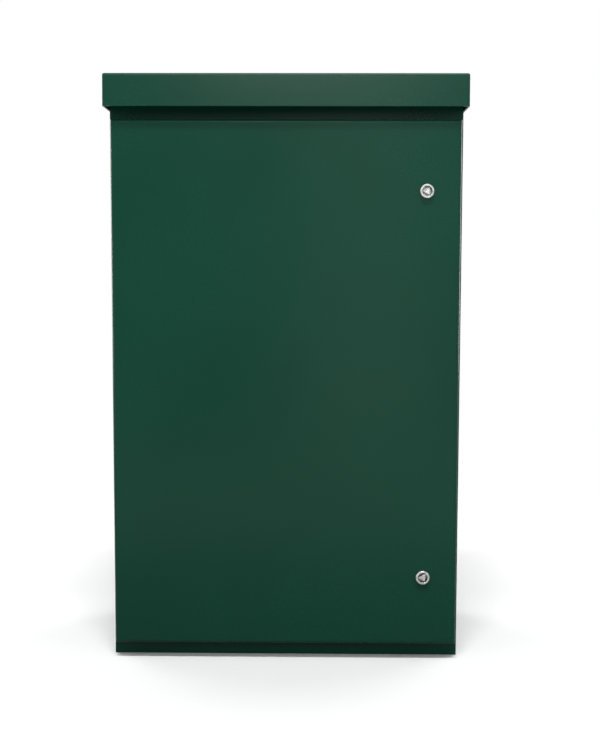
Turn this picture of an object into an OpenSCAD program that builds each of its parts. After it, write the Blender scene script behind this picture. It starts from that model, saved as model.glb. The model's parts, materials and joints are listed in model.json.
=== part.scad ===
// Roadside utility cabinet: a folded steel body with a front frame, an overhanging pitched roof,
// a lay-on door on two concealed lift-off hinges and two quarter-turn key locks.
// Millimetres, +Z up, the front faces -Y. The origin is on the ground, at the centre of the body.

/* [Body] */
// Width of the body across its side walls
body_w = 600; // [480:10:800]
// Depth of the body from its back wall to its front frame
body_d = 270; // [220:5:400]
// Height of the front top edge of the roof above the ground
overall_h = 1000; // [800:5:1300]
// Thickness of the folded steel sheet
sheet_t = 2.5; // [2:0.5:3]
// Inside radius of every fold
fold_r = 2.5; // [2:0.5:3.5]
// Gap left between pieces that are welded or dropped into each other
weld_gap = 0.3; // [0.1:0.1:0.5]

/* [Front frame] */
// Width of the side frame from the outside of the body to the door opening
frame_w = 37.5; // [35:0.5:50]
// How far the door laps the opening at its top and bottom
lap_z = 32.5; // [30:0.5:45]
// Depth of the leg that fixes a jamb to its side wall
jamb_leg = 20; // [12:1:30]

/* [Roof] */
// Height of the front skirt of the roof
skirt_h = 55; // [45:1:80]
// Fall of the roof towards the back, in degrees
roof_pitch = 2; // [1:0.5:4]
// Overhang of the roof past the side walls
roof_side = 5; // [4:0.5:25]
// Overhang of the roof past the back wall
roof_back = 12; // [10:1:30]
// Overhang of the roof past the front of the door
roof_front = 14; // [8:1:30]
// Thickness of the foam strip under the roof
roof_seal_t = 6; // [6:0.5:10]
// Width of the foam strip under the roof
roof_seal_w = 14; // [10:1:16]
// Width of the flat frame that the roof sits on
roof_frame_w = 38; // [34:1:50]
// Distance of each roof bolt from the edge of the flat frame
roof_bolt_in = 26; // [23:1:27]

/* [Door] */
// Distance of the door's side edges from the side walls
door_side = 5; // [3:0.5:10]
// Height of the bottom edge of the door above the ground
sill_show = 28; // [20:1:60]
// Height of the dark gap between the roof skirt and the door
head_gap = 19; // [12:1:30]
// Gap between the back edge of the door and the front frame
door_gap = 5; // [4:0.5:7]
// Thickness of the door's foam seal when the door is shut
seal_t = 8; // [7:0.5:12]
// Width of the door's foam seal
seal_w = 14; // [10:1:16]
// Width across the raised web of the door stiffener
stiffener_w = 50; // [30:1:90]
// Height of the door stiffener's web off the door
stiffener_h = 15; // [10:1:18]
// Distance of the stiffener's ends from the ends of the opening
stiffener_in = 40; // [10:1:100]

/* [Hinges] */
// Radius of the hinge pins
pin_r = 3; // [2.5:0.1:3.5]
// Wall of the hinge knuckles around the pin
knuckle_wall = 2.2; // [2:0.1:3]
// Length of each knuckle
knuckle_h = 30; // [20:1:50]
// Gap between a knuckle and the edge fold of the door
knuckle_gap = 0.8; // [0.6:0.1:1.5]
// Clearance that the swinging edge of the door keeps from the frame
swing_gap = 1.6; // [1:0.1:2.4]
// Distance of each hinge from the nearer end of the door
hinge_in = 120; // [90:1:200]

/* [Locks] */
// Distance of each lock from the opening edge of the door
lock_side = 58; // [53:1:85]
// Distance of each lock from the nearer end of the door
lock_end = 119; // [100:1:250]
// Radius of the visible lock head
lock_head_r = 12; // [11.5:0.1:13]
// Thickness of the visible lock head
lock_head_t = 5; // [4:0.5:8]
// Radius of the threaded lock barrel
lock_barrel_r = 10; // [9.8:0.1:10.5]
// Radius of the round key recess
key_recess_r = 8.3; // [8:0.1:8.5]
// Depth of the key recess from the face of the lock
key_recess_d = 13; // [10:0.5:15]
// Radius across the rounded corners of the three-sided key spigot
key_spigot_r = 6.4; // [5.5:0.1:7]
// Distance of the spigot's three flats from its axis
key_flat = 4; // [3:0.1:4.5]
// Reach of the locking cam from the lock's axis
cam_reach = 46; // [42:1:48]
// Width of the locking cam
cam_w = 18; // [14:1:20]
// Thickness of the locking cam
cam_t = 3; // [2:0.5:5]

/* [Base] */
// Height of the upturned edges of the base tray
tray_h = 26; // [20:1:26]
// Distance of the anchor holes from the side walls
anchor_in_x = 45; // [35:1:55]
// Distance of the anchor holes from the front and back
anchor_in_y = 40; // [35:1:60]
// Radius of the anchor holes
anchor_r = 7; // [5:0.5:9]
// Distance of the cable opening from the side walls
cable_in_x = 115; // [110:1:160]
// Distance of the cable opening from the front and back
cable_in_y = 70; // [60:1:90]
// Corner radius of the cable opening
cable_corner_r = 8; // [4:1:15]
// Lap of the gland plate over the cable opening
gland_lap = 28; // [24:1:30]
// Thickness of the gland plate
gland_t = 3; // [2:0.5:4]
// Thickness of the strip under the gland plate
gland_seal_t = 3; // [2:0.5:4]

/* [Mounting board] */
// Thickness of the plywood board
board_t = 18; // [12:1:25]
// Clearance of the board from the edges of the door opening
board_margin = 14; // [8:1:40]
// Height of the rails off the back wall
rail_h = 25; // [18:1:35]
// Width of the flat web of each rail
rail_w = 42; // [35:1:60]
// Distance of the rails from the ends of the board
rail_in = 110; // [60:1:200]
// Distance of the board bolts from the sides of the board
board_bolt_in = 45; // [30:1:80]

/* [Hidden] */
$fn = 96;

// Fits and small standard parts
run_gap = 0.05;          // radial clearance of a turning pin
seat_gap = 0.02;         // radial clearance of a fixed pin
bolt_gap = 0.3;          // radial clearance of a bolt hole
m6_r = 3;
m8_r = 4;
m6_head = [5.77, 4];     // corner radius and height of an M6 hexagon head or nut
m6_nut_h = 5;
m8_head = [7.5, 5.5];
washer_t = 1.6;
m6_washer_r = 6.5;
m8_washer_r = 12;
weld_plate_t = 3;        // flat frame under the roof
cut = 1;                 // how far a cutting shape runs past a face, or a joined one into its neighbour
step = 0.2;              // small step that keeps two faces apart

// Folds
fold_out = fold_r + sheet_t;
fold_mid = fold_r + sheet_t / 2;
half_t = sheet_t / 2;

// Body faces
half_w = body_w / 2;
door_x = half_w - door_side;
inner_x = half_w - sheet_t;
front_y = -body_d / 2;
back_y = body_d / 2;
inner_back = back_y - sheet_t;
inner_front = front_y + sheet_t;

// Hinge axis: far enough out that the back edge of the door clears the frame by swing_gap
knuckle_r = pin_r + knuckle_wall;
axis_in = sheet_t + knuckle_gap + knuckle_r;
axis_out = (axis_in * axis_in + door_gap * door_gap - swing_gap * swing_gap) / (2 * (door_gap - swing_gap));
axis_x = -door_x + axis_in;
axis_y = front_y - axis_out;

// Front frame and door
seal_gap = 0.3;
lip_h = axis_out + knuckle_r + seal_gap;
door_d = lip_h + seal_gap + seal_t + sheet_t - door_gap;
door_y = front_y - door_gap - door_d;
skin_y = door_y + sheet_t;
skirt_z = overall_h - skirt_h;
door_z0 = sill_show;
door_z1 = skirt_z - head_gap;
door_h = door_z1 - door_z0;
open_x = half_w - frame_w;
open_z0 = door_z0 + lap_z;
open_z1 = door_z1 - lap_z;
lip_x = open_x + sheet_t;
corner_r = 2;            // welded and ground corner of the door and the roof

// Roof, drawn in a frame that lies along its top, with the origin on the front top edge
roof_y = door_y - roof_front;
roof_len = (back_y + roof_back - roof_y) / cos(roof_pitch);
seat_z = -sheet_t - roof_seal_t;
ring_y0 = along_roof(inner_front + weld_gap);
ring_y1 = along_roof(inner_back - weld_gap);
ring_x = inner_x - weld_gap;
inner_corner_r = fold_r + 1;
function along_roof(y) = (y - roof_y - seat_z * sin(roof_pitch)) / cos(roof_pitch);

// Places of what repeats
hinge_zs = [door_z0 + hinge_in, door_z1 - hinge_in];
lock_zs = [door_z0 + lock_end, door_z1 - lock_end];
lock_x = door_x - lock_side;
signs = [-1, 1];

// Lock, along its axis from the door face inwards
lock_seal_t = 1;
lock_face = -lock_seal_t - lock_head_t;
lock_flat = 9.4;         // half width across the flats of the barrel
barrel_end = 22;
lock_nut = [13.86, 6];
spindle_r = 6;
spindle_collar_t = 3;
spigot_inset = 1.5;      // the key spigot stays this far below the lock face
cam_gap = 1.5;           // between the cam and the back of the frame
cam_y = inner_front + cam_gap - door_y;
cam_square = 8;
cam_bolt_depth = 12;

// Base
tray_x = inner_x - weld_gap;
tray_y = inner_back - weld_gap;
anchor_x = half_w - anchor_in_x;
anchor_y = back_y - anchor_in_y;
cable_w = body_w - 2 * cable_in_x;
cable_d = body_d - 2 * cable_in_y;
gland_x = cable_w / 2 + gland_lap;
gland_y = cable_d / 2 + gland_lap;
gland_z = sheet_t + gland_seal_t;
gland_edge = 11;         // distance of the gland studs from the edge of the gland plate
gland_seal_w = 5;
gland_stud_len = 20;
gland_stud_spots = concat(
    [for (x = signs, y = signs) [x * (gland_x - gland_edge), y * (gland_y - gland_edge)]],
    [for (y = signs) [0, y * (gland_y - gland_edge)]]);
earth_spot = [-anchor_x, 0];
earth_len = 24;

// Mounting board
web_y = inner_back - rail_h;
board_y = web_y - board_t;
board_x = open_x - board_margin;
board_z0 = open_z0 + board_margin;
board_z1 = open_z1 - board_margin;
rail_zs = [board_z0 + rail_in, board_z1 - rail_in];
rail_foot = 16;
rail_half = inner_x - fold_out;
board_bolt_x = board_x - board_bolt_in;
board_nut_h = 6.5;
sink_gap = 1;            // room round and over each bolt head in its counterbore
sink_r = m8_washer_r + sink_gap;
sink_d = m8_head[1] + washer_t + sink_gap;
board_seat_y = board_y + sink_d;

paint = "#1f4a3c";
zinc = "#c9ccc8";
galvanised = "#9aa0a0";
foam = "#222222";
plywood = "#c7a374";
brass = "#b99a4a";

// Folded sheet: a flat pattern of legs along the middle of the sheet, with a round fold at each corner

function unit(v) = v / norm(v);

module fold_leg(p, q, trim_p, trim_q) {
    u = unit(q - p);
    side = [-u.y, u.x] * half_t;
    a = p + u * trim_p;
    b = q - u * trim_q;
    polygon([a - side, b - side, b + side, a + side]);
}

module fold_corner(corner, before, after) {
    u = unit(before - corner) + unit(after - corner);
    reach = 2 * fold_out;
    translate(corner + u * fold_mid)
        intersection() {
            difference() {
                circle(fold_out);
                circle(fold_r);
            }
            translate([min(0, -u.x * reach), min(0, -u.y * reach)])
                square(reach);
        }
}

module folded_sheet(path) {
    last = len(path) - 1;
    for (i = [0 : last - 1])
        fold_leg(path[i], path[i + 1], i > 0 ? fold_mid : 0, i < last - 1 ? fold_mid : 0);
    for (i = [1 : last - 1])
        fold_corner(path[i], path[i - 1], path[i + 1]);
}

// Rounded blocks and trays: the face lies on z = 0 and the open side is at z = depth

module rounded_rect(w, h, r) {
    square([w - 2 * r, h], center = true);
    square([w, h - 2 * r], center = true);
    for (x = signs, y = signs)
        translate([x * (w / 2 - r), y * (h / 2 - r)]) circle(r);
}

module tray_outline(w, depth, r) {
    translate([-w / 2 + r, 0]) square([w - 2 * r, depth]);
    translate([-w / 2, r]) square([w, depth - r]);
    for (x = signs)
        translate([x * (w / 2 - r), r]) circle(r);
}

module tray_block(w, h, depth, edge_r, corner) {
    intersection() {
        rotate([90, 0, 0]) linear_extrude(h, center = true) tray_outline(w, depth, edge_r);
        rotate([90, 0, 90]) linear_extrude(w, center = true) tray_outline(h, depth, edge_r);
        linear_extrude(depth) rounded_rect(w, h, corner);
    }
}

module folded_tray(w, h, depth, corner) {
    inside_corner = max(corner - sheet_t, 0.5);
    difference() {
        tray_block(w, h, depth, fold_out, corner);
        translate([0, 0, sheet_t])
            tray_block(w - 2 * sheet_t, h - 2 * sheet_t, depth, fold_r, inside_corner);
    }
}

// Turns an outline drawn in (y, z) so that it runs along X
module along_x(length) {
    rotate([90, 0, 90]) linear_extrude(length, center = true) children();
}

// Points the local +Z axis out of the door, towards the inside
module inwards() {
    rotate([-90, 0, 0]) children();
}

// Cutter for a round hole through a plate that stands on z = 0
module through_hole(r, height) {
    translate([0, 0, -cut]) cylinder(r = r, h = height + 2 * cut);
}

module hex_prism(corner, height) {
    cylinder(r = corner, h = height, $fn = 6);
}

module hex_nut(corner, height, bore) {
    difference() {
        hex_prism(corner, height);
        through_hole(bore, height);
    }
}

module washer(outer, bore, height) {
    difference() {
        cylinder(r = outer, h = height);
        through_hole(bore, height);
    }
}

// Hexagon bolt with its head below z = 0 and its shank above
module hex_bolt(head, shank_r, length) {
    translate([0, 0, -head[1]]) hex_prism(head[0], head[1]);
    translate([0, 0, -cut]) stud(shank_r, length + cut);
}

// Threaded stud that stands on z = 0, with a bevelled tip
module stud(r, length) {
    bevel = r / 4;
    cylinder(r = r, h = length - bevel);
    translate([0, 0, length - bevel]) cylinder(r1 = r, r2 = r - bevel, h = bevel);
}

// Body

module body_wrap() {
    x = half_w - half_t;
    back = back_y - half_t;
    color(paint)
        difference() {
            linear_extrude(overall_h)
                folded_sheet([[-x, front_y], [-x, back], [x, back], [x, front_y]]);
            above_roof_seat();
        }
}

// Everything above the plane that the roof's foam strip lies on
module above_roof_seat() {
    on_roof() translate([-body_w, -body_d, seat_z]) cube([2 * body_w, 3 * body_d, overall_h]);
}

// One jamb, on the +X side: a leg on the side wall, the front face and the forward lip
module jamb() {
    leg_x = inner_x - half_t;
    face_y = front_y + half_t;
    lip_mid = open_x + half_t;
    translate([0, 0, open_z0 - fold_out])
        linear_extrude(open_z1 - open_z0 + 2 * fold_out)
            folded_sheet([[leg_x, front_y + jamb_leg], [leg_x, face_y], [lip_x + weld_gap, face_y]]);
    translate([0, 0, open_z0])
        linear_extrude(open_z1 - open_z0)
            folded_sheet([[inner_x - fold_out, face_y], [lip_mid, face_y], [lip_mid, front_y - lip_h]]);
}

module left_jamb() {
    color(paint) mirror([1, 0, 0]) jamb();
}

module right_jamb() {
    color(paint) jamb();
}

// Cross rail of the front frame: z_open is the edge of the opening, dir points away from it
module cross_rail(z_open, dir, z_end) {
    face_y = front_y + half_t;
    lip_mid = z_open + dir * half_t;
    end_z = z_open + dir * fold_out;
    along_x(2 * lip_x)
        folded_sheet([[face_y, z_end], [face_y, lip_mid], [front_y - lip_h, lip_mid]]);
    for (x = signs)
        translate([x > 0 ? lip_x : -inner_x, front_y, min(end_z, z_end)])
            cube([inner_x - lip_x, sheet_t, abs(z_end - end_z)]);
}

module header_rail() {
    color(paint)
        difference() {
            cross_rail(open_z1, 1, overall_h);
            above_roof_seat();
        }
}

module sill_rail() {
    color(paint) cross_rail(open_z0, -1, 0);
}

// Base

module base_tray() {
    color(galvanised)
        difference() {
            folded_tray(2 * tray_x, 2 * tray_y, tray_h, inner_corner_r);
            translate([0, 0, -cut]) linear_extrude(sheet_t + 2 * cut) cable_outline(0, cable_corner_r);
            for (x = signs, y = signs)
                translate([x * anchor_x, y * anchor_y, 0]) through_hole(anchor_r, sheet_t);
        }
}

module cable_outline(margin, corner) {
    rounded_rect(cable_w + 2 * margin, cable_d + 2 * margin, corner);
}

module gland_gasket() {
    color(foam)
        translate([0, 0, sheet_t])
            linear_extrude(gland_seal_t)
                difference() {
                    cable_outline(2 * gland_seal_w, cable_corner_r + gland_seal_w);
                    cable_outline(gland_seal_w, cable_corner_r);
                }
}

module gland_plate() {
    color(galvanised)
        translate([0, 0, gland_z])
            difference() {
                linear_extrude(gland_t) rounded_rect(2 * gland_x, 2 * gland_y, cable_corner_r);
                for (p = gland_stud_spots)
                    translate([p.x, p.y, 0]) through_hole(m6_r + bolt_gap, gland_t);
            }
}

module gland_studs() {
    color(zinc)
        for (p = gland_stud_spots)
            translate([p.x, p.y, sheet_t]) stud(m6_r, gland_stud_len);
}

module gland_nuts() {
    color(zinc)
        for (p = gland_stud_spots)
            translate([p.x, p.y, gland_z + gland_t]) hex_nut(m6_head[0], m6_nut_h, m6_r + run_gap);
}

module earth_stud() {
    color(brass) translate([earth_spot.x, earth_spot.y, sheet_t]) stud(m8_r, earth_len);
}

module earth_washers() {
    color(brass)
        for (z = [sheet_t, sheet_t + washer_t + board_nut_h])
            translate([earth_spot.x, earth_spot.y, z]) washer(2 * m8_r, m8_r + bolt_gap, washer_t);
}

module earth_nuts() {
    color(brass)
        for (z = [sheet_t + washer_t, sheet_t + 2 * washer_t + board_nut_h])
            translate([earth_spot.x, earth_spot.y, z]) hex_nut(m8_head[0], board_nut_h, m8_r + run_gap);
}

// Roof

module on_roof() {
    translate([0, roof_y, overall_h]) rotate([-roof_pitch, 0, 0]) children();
}

module at_roof_bolts() {
    for (x = signs, y = [ring_y0 + roof_bolt_in, ring_y1 - roof_bolt_in])
        translate([x * (ring_x - roof_bolt_in), y, 0]) children();
}

module roof_ring(width, corner) {
    len_y = ring_y1 - ring_y0;
    translate([0, (ring_y0 + ring_y1) / 2])
        difference() {
            rounded_rect(2 * ring_x, len_y, corner);
            rounded_rect(2 * (ring_x - width), len_y - 2 * width, corner);
        }
}

module roof_frame() {
    color(paint)
        on_roof() translate([0, 0, seat_z - weld_plate_t])
            difference() {
                linear_extrude(weld_plate_t) roof_ring(roof_frame_w, inner_corner_r);
                at_roof_bolts() through_hole(m6_r + bolt_gap, weld_plate_t);
            }
}

module roof_gasket() {
    color(foam)
        on_roof() translate([0, 0, seat_z])
            linear_extrude(roof_seal_t) roof_ring(roof_seal_w, inner_corner_r);
}

module roof_cover() {
    full_h = skirt_h + roof_len * sin(roof_pitch);
    color(paint)
        difference() {
            on_roof() translate([0, roof_len / 2, 0]) rotate([180, 0, 0])
                folded_tray(body_w + 2 * roof_side, roof_len, full_h, corner_r);
            translate([-body_w, -2 * body_d, 0]) cube([2 * body_w, 4 * body_d, skirt_z]);
        }
}

module roof_weld_nuts() {
    color(zinc)
        on_roof() translate([0, 0, -sheet_t - m6_nut_h])
            at_roof_bolts() hex_nut(m6_head[0], m6_nut_h, m6_r + run_gap);
}

module roof_washers() {
    color(zinc)
        on_roof() translate([0, 0, seat_z - weld_plate_t - washer_t])
            at_roof_bolts() washer(m6_washer_r, m6_r + bolt_gap, washer_t);
}

module roof_bolts() {
    head_z = seat_z - weld_plate_t - washer_t;
    color(zinc)
        on_roof() translate([0, 0, head_z])
            at_roof_bolts() hex_bolt(m6_head, m6_r, -sheet_t - weld_gap - head_z);
}

// Mounting board

module hat_sheet(half_web, height, foot) {
    side = half_web - half_t;
    top = height - half_t;
    end = half_web + foot;
    folded_sheet([[-end, half_t], [-side, half_t], [-side, top], [side, top], [side, half_t], [end, half_t]]);
}

module at_board_bolts(zs) {
    for (x = signs, z = zs)
        translate([x * board_bolt_x, 0, z]) children();
}

module board_rail(z) {
    color(galvanised)
        difference() {
            translate([0, inner_back, z])
                along_x(2 * rail_half) rotate(90) hat_sheet(rail_w / 2, rail_h, rail_foot);
            at_board_bolts([z])
                translate([0, web_y, 0]) inwards() through_hole(m8_r + bolt_gap, sheet_t);
        }
}

module lower_board_rail() {
    board_rail(rail_zs[0]);
}

module upper_board_rail() {
    board_rail(rail_zs[1]);
}

module mounting_board() {
    color(plywood)
        difference() {
            translate([-board_x, board_y, board_z0]) cube([2 * board_x, board_t, board_z1 - board_z0]);
            at_board_bolts(rail_zs)
                translate([0, board_y, 0]) inwards() {
                    through_hole(m8_r + bolt_gap, board_t);
                    translate([0, 0, -cut]) cylinder(r = sink_r, h = sink_d + cut);
                }
        }
}

module board_bolts() {
    length = washer_t + board_t - sink_d + sheet_t + board_nut_h;
    color(zinc)
        at_board_bolts(rail_zs)
            translate([0, board_seat_y - washer_t, 0]) inwards() hex_bolt(m8_head, m8_r, length);
}

module board_washers() {
    color(zinc)
        at_board_bolts(rail_zs)
            translate([0, board_seat_y - washer_t, 0]) inwards()
                washer(m8_washer_r, m8_r + bolt_gap, washer_t);
}

module board_nuts() {
    color(zinc)
        at_board_bolts(rail_zs)
            translate([0, web_y + sheet_t, 0]) inwards() hex_nut(m8_head[0], board_nut_h, m8_r + run_gap);
}

// Hinges: z is the joint between the lower knuckle, on the frame, and the upper knuckle, on the door

hinge_washer_t = 1;
frame_knuckle_top = -hinge_washer_t / 2;
door_knuckle_bottom = hinge_washer_t / 2 + step;
pin_head_over = 1.6;     // how far the pin's head stands out past the pin
pin_head_h = 3;
pin_top = 2;             // length of pin that shows above the door's knuckle

module knuckle(bore) {
    difference() {
        union() {
            circle(knuckle_r);
            children();
        }
        circle(bore);
    }
}

module hinge_frame_leaf(z) {
    strap_y = -knuckle_r + step + half_t;
    leg_x = -lip_x - axis_x - half_t;
    color(paint)
        translate([axis_x, axis_y, z + frame_knuckle_top - knuckle_h])
            linear_extrude(knuckle_h)
                knuckle(pin_r + seat_gap)
                    folded_sheet([[0, strap_y], [leg_x, strap_y], [leg_x, axis_out - fold_out]]);
}

module hinge_door_leaf(z) {
    skin_side = -axis_in + sheet_t;
    leaf_front = skin_y - axis_y + fold_out;
    color(paint)
        translate([axis_x, axis_y, z + door_knuckle_bottom])
            linear_extrude(knuckle_h)
                knuckle(pin_r + run_gap)
                    translate([skin_side, leaf_front]) square([sheet_t, knuckle_r - leaf_front]);
}

module hinge_pin(z) {
    foot_z = frame_knuckle_top - knuckle_h;
    top_z = door_knuckle_bottom + knuckle_h + pin_top;
    color(zinc)
        translate([axis_x, axis_y, z]) {
            translate([0, 0, foot_z - pin_head_h]) cylinder(r = pin_r + pin_head_over, h = pin_head_h);
            translate([0, 0, foot_z - cut]) stud(pin_r, top_z - foot_z + cut);
        }
}

module lower_hinge_frame_leaf() {
    hinge_frame_leaf(hinge_zs[0]);
}

module upper_hinge_frame_leaf() {
    hinge_frame_leaf(hinge_zs[1]);
}

module lower_hinge_door_leaf() {
    hinge_door_leaf(hinge_zs[0]);
}

module upper_hinge_door_leaf() {
    hinge_door_leaf(hinge_zs[1]);
}

module lower_hinge_pin() {
    hinge_pin(hinge_zs[0]);
}

module upper_hinge_pin() {
    hinge_pin(hinge_zs[1]);
}

module hinge_washers() {
    color(brass)
        for (z = hinge_zs)
            translate([axis_x, axis_y, z + frame_knuckle_top])
                washer(knuckle_r, pin_r + run_gap, hinge_washer_t);
}

// Door

// Round barrel outline with two flats that stop it turning in the door
module barrel_outline(r, flat) {
    intersection() {
        circle(r);
        square([4 * r, 2 * flat], center = true);
    }
}

module at_lock(z) {
    translate([lock_x, door_y, z]) inwards() children();
}

module door_panel() {
    color(paint)
        difference() {
            translate([0, door_y, (door_z0 + door_z1) / 2]) inwards()
                folded_tray(2 * door_x, door_h, door_d, corner_r);
            for (z = lock_zs)
                at_lock(z) translate([0, 0, -cut])
                    linear_extrude(sheet_t + 2 * cut) barrel_outline(lock_barrel_r + step, lock_flat + step);
        }
}

module door_stiffener() {
    z0 = open_z0 + stiffener_in;
    z1 = open_z1 - stiffener_in;
    color(paint)
        translate([0, skin_y, z0])
            linear_extrude(z1 - z0) hat_sheet(stiffener_w / 2, stiffener_h, rail_foot);
}

module door_gasket() {
    mid_x = open_x + half_t;
    mid_z = (open_z0 + open_z1) / 2;
    mid_h = open_z1 - open_z0 + sheet_t;
    bend_r = seal_w / 4;
    color(foam)
        translate([0, skin_y, mid_z]) inwards()
            linear_extrude(seal_t)
                difference() {
                    rounded_rect(2 * mid_x + seal_w, mid_h + seal_w, bend_r + seal_w);
                    rounded_rect(2 * mid_x - seal_w, mid_h - seal_w, bend_r);
                }
}

door_earth_in = [60, 40];    // distance of the door's earth stud from the edges of the opening
door_earth_spot = [-open_x + door_earth_in.x, open_z0 + door_earth_in.y];
door_earth_len = 16;

module at_door_earth() {
    translate([door_earth_spot.x, skin_y, door_earth_spot.y]) inwards() children();
}

module door_earth_stud() {
    color(brass) at_door_earth() stud(m6_r, door_earth_len);
}

module door_earth_nuts() {
    color(brass)
        at_door_earth()
            for (z = [0, m6_nut_h + step])
                translate([0, 0, z]) hex_nut(m6_head[0], m6_nut_h, m6_r + run_gap);
}

// Locks

module lock_gaskets() {
    color(foam)
        for (z = lock_zs)
            at_lock(z) translate([0, 0, -lock_seal_t])
                washer(lock_head_r, lock_barrel_r + bolt_gap, lock_seal_t);
}

module lock_housing(z) {
    edge_r = 1.5;
    color(zinc)
        at_lock(z)
            difference() {
                union() {
                    rotate_extrude() {
                        translate([0, lock_face + edge_r]) square([lock_head_r, lock_head_t - edge_r]);
                        translate([0, lock_face]) square([lock_head_r - edge_r, lock_head_t]);
                        translate([lock_head_r - edge_r, lock_face + edge_r]) circle(edge_r);
                    }
                    translate([0, 0, -lock_seal_t - cut])
                        linear_extrude(barrel_end + lock_seal_t + cut)
                            barrel_outline(lock_barrel_r, lock_flat);
                }
                translate([0, 0, lock_face - cut]) cylinder(r = key_recess_r, h = key_recess_d + cut);
                cylinder(r = spindle_r + run_gap, h = barrel_end + cut);
            }
}

module lock_nut(z) {
    color(zinc)
        at_lock(z) translate([0, 0, sheet_t]) hex_nut(lock_nut[0], lock_nut[1], lock_barrel_r + run_gap);
}

// Three-sided key spigot with rounded corners and one flat towards +X
module key_outline() {
    intersection() {
        circle(key_spigot_r);
        rotate(180) circle(2 * key_flat, $fn = 3);
    }
}

// Turning spindle: key spigot, collar in the recess, shaft, and a square end for the cam
module lock_spindle(z) {
    collar_z = lock_face + key_recess_d - spindle_collar_t - run_gap;
    spigot_z = lock_face + spigot_inset;
    square_z = cam_y + cam_t - step;
    color(zinc)
        at_lock(z)
            difference() {
                union() {
                    translate([0, 0, spigot_z])
                        linear_extrude(collar_z - spigot_z + cut) key_outline();
                    translate([0, 0, collar_z]) cylinder(r = key_recess_r - run_gap, h = spindle_collar_t);
                    translate([0, 0, collar_z + cut]) cylinder(r = spindle_r, h = cam_y - collar_z - cut);
                    translate([-cam_square / 2, -cam_square / 2, cam_y - cut])
                        cube([cam_square, cam_square, square_z - cam_y + cut]);
                }
                translate([0, 0, square_z - cam_bolt_depth])
                    cylinder(r = m6_r + run_gap, h = cam_bolt_depth + cut);
            }
}

// Locking cam, pointing down while the door is free to open
module lock_cam(z) {
    tip_r = cam_w / 2;
    hole = cam_square + 2 * run_gap;
    color(zinc)
        at_lock(z) translate([0, 0, cam_y])
            linear_extrude(cam_t)
                difference() {
                    union() {
                        circle(tip_r);
                        translate([-tip_r, 0]) square([cam_w, cam_reach]);
                    }
                    square(hole, center = true);
                }
}

module cam_washer(z) {
    color(zinc)
        at_lock(z) translate([0, 0, cam_y + cam_t]) washer(m6_washer_r, m6_r + bolt_gap, washer_t);
}

module cam_bolt(z) {
    color(zinc)
        at_lock(z) translate([0, 0, cam_y + cam_t + washer_t]) rotate([180, 0, 0])
            hex_bolt(m6_head, m6_r, washer_t + cam_bolt_depth - cut);
}

module lower_lock_housing() {
    lock_housing(lock_zs[0]);
}

module upper_lock_housing() {
    lock_housing(lock_zs[1]);
}

module lower_lock_nut() {
    lock_nut(lock_zs[0]);
}

module upper_lock_nut() {
    lock_nut(lock_zs[1]);
}

module lower_lock_spindle() {
    lock_spindle(lock_zs[0]);
}

module upper_lock_spindle() {
    lock_spindle(lock_zs[1]);
}

module lower_lock_cam() {
    lock_cam(lock_zs[0]);
}

module upper_lock_cam() {
    lock_cam(lock_zs[1]);
}

module lower_cam_washer() {
    cam_washer(lock_zs[0]);
}

module upper_cam_washer() {
    cam_washer(lock_zs[1]);
}

module lower_cam_bolt() {
    cam_bolt(lock_zs[0]);
}

module upper_cam_bolt() {
    cam_bolt(lock_zs[1]);
}

body_wrap();
left_jamb();
right_jamb();
header_rail();
sill_rail();
base_tray();
gland_gasket();
gland_plate();
gland_studs();
gland_nuts();
earth_stud();
earth_washers();
earth_nuts();
roof_frame();
roof_gasket();
roof_cover();
roof_weld_nuts();
roof_washers();
roof_bolts();
lower_board_rail();
upper_board_rail();
mounting_board();
board_bolts();
board_washers();
board_nuts();
lower_hinge_frame_leaf();
upper_hinge_frame_leaf();
lower_hinge_pin();
upper_hinge_pin();
hinge_washers();
door_panel();
door_stiffener();
door_gasket();
lower_hinge_door_leaf();
upper_hinge_door_leaf();
door_earth_stud();
door_earth_nuts();
lock_gaskets();
lower_lock_housing();
upper_lock_housing();
lower_lock_nut();
upper_lock_nut();
lower_lock_spindle();
upper_lock_spindle();
lower_lock_cam();
upper_lock_cam();
lower_cam_washer();
upper_cam_washer();
lower_cam_bolt();
upper_cam_bolt();
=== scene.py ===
"""Finishes, seals, fasteners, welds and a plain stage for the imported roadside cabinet."""

import json
import math
from contextlib import contextmanager

import bmesh
import bpy
from bpy.props import FloatProperty, FloatVectorProperty, IntProperty, PointerProperty
from mathutils import Matrix, Vector


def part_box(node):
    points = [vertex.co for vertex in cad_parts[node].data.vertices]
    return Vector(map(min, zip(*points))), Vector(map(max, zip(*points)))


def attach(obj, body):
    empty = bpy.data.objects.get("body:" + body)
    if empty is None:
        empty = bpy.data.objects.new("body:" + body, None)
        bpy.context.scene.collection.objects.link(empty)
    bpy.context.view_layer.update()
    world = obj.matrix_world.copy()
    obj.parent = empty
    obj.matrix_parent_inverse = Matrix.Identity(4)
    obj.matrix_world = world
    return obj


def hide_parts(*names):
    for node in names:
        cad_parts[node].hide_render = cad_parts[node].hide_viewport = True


bl_info = {
    "name": "Roadside Cabinet",
    "version": (1, 0, 0),
    "blender": (4, 5, 0),
    "location": "View3D > Sidebar > Cabinet",
    "description": "Dresses the packed cabinet with finishes, seals, fasteners, welds and a plain stage",
    "category": "Object",
}

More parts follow.
